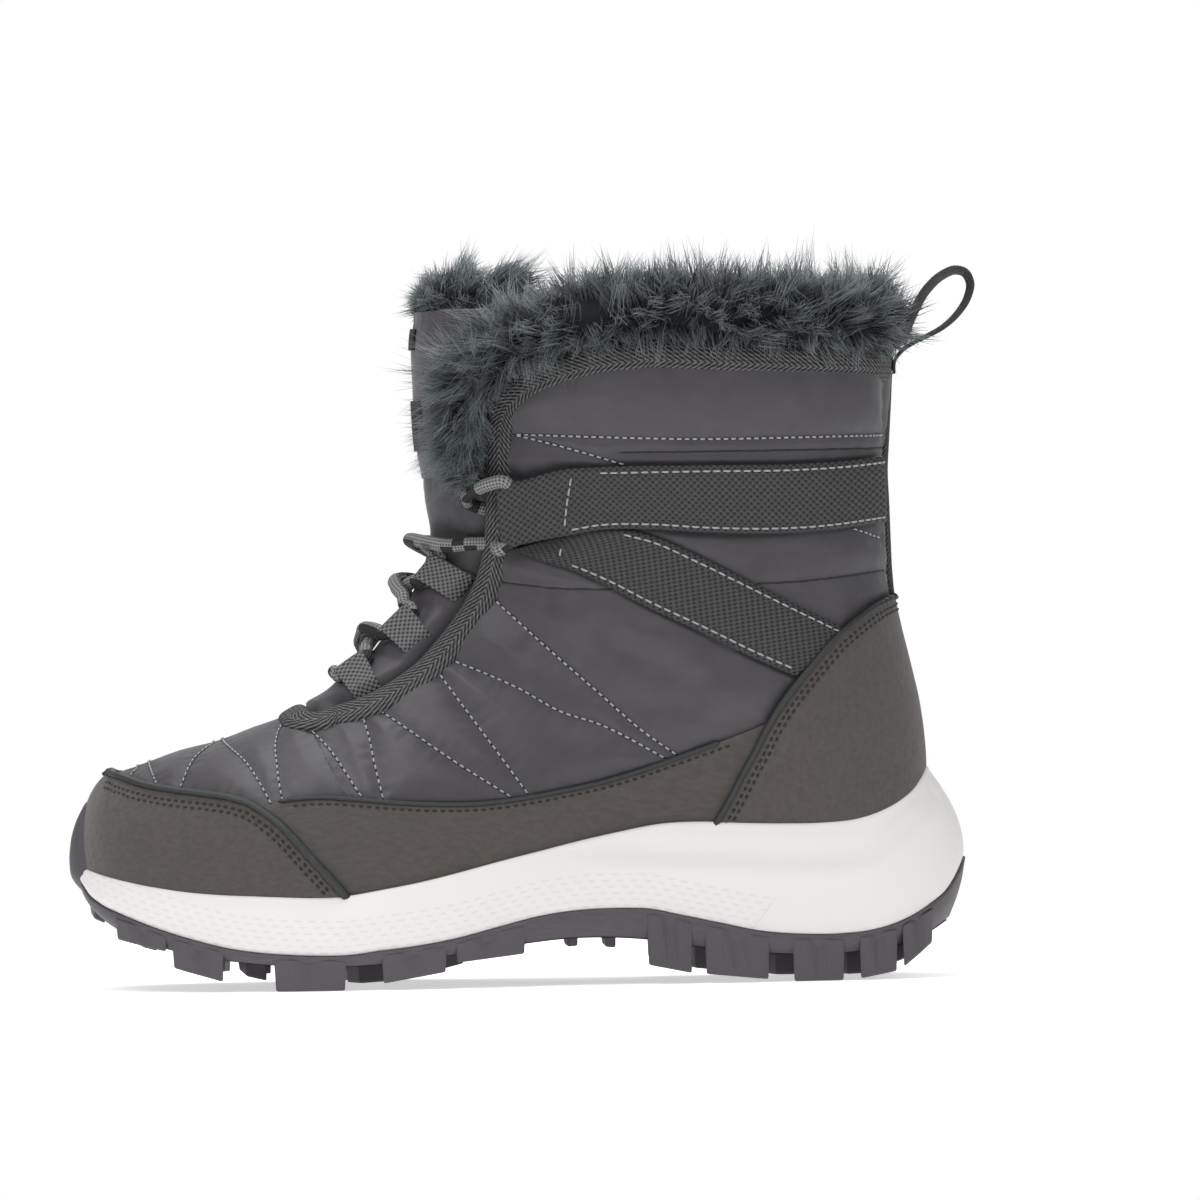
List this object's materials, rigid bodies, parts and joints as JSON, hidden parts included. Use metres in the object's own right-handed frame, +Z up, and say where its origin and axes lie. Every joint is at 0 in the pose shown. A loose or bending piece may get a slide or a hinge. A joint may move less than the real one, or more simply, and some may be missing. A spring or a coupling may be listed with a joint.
{
  "type": "snow boot",
  "caption": "Left snow boot with quilted shell, fur collar, laced throat, webbing straps, foam midsole and lugged rubber outsole.",
  "frame": {"origin": "on the floor, under the middle of the boot's bounding box", "axes": "-X towards the toe, -Y towards the outer side of the foot, +Z up"},
  "size_m": [0.285, 0.1258, 0.23],
  "materials": {
    "cord": "round braided cord",
    "foam": "moulded white foam",
    "footbed": "short pile over foam",
    "fur": "deep pile",
    "label": "flat woven patch",
    "nubuck": "matt brushed nubuck",
    "nylon": "quilted nylon, slight sheen",
    "rubber": "matt rubber",
    "webbing": "ribbed webbing"
  },
  "bodies": {
    "root": {"back_seam": "webbing", "edge_binding": "webbing", "foxing_lateral": "nubuck", "foxing_medial": "nubuck", "fur_collar": "fur", "fur_tongue": "fur", "heel_counter": "nubuck", "insole": "footbed", "lace_bar": "cord", "lace_cross_1": "cord", "lace_cross_2": "cord", "lace_cross_3": "cord", "lace_loop_lateral_1": "webbing", "lace_loop_lateral_2": "webbing", "lace_loop_lateral_3": "webbing", "lace_loop_medial_1": "webbing", "lace_loop_medial_2": "webbing", "lace_loop_medial_3": "webbing", "midsole": "foam", "outsole": "rubber", "pull_loop": "webbing", "stay_lateral": "webbing", "stay_medial": "webbing", "strap_lateral": "webbing", "strap_medial": "webbing", "toe_cap": "nubuck", "tongue": "nylon", "tongue_label": "label", "upper": "nylon"}
  },
  "joints": []
}
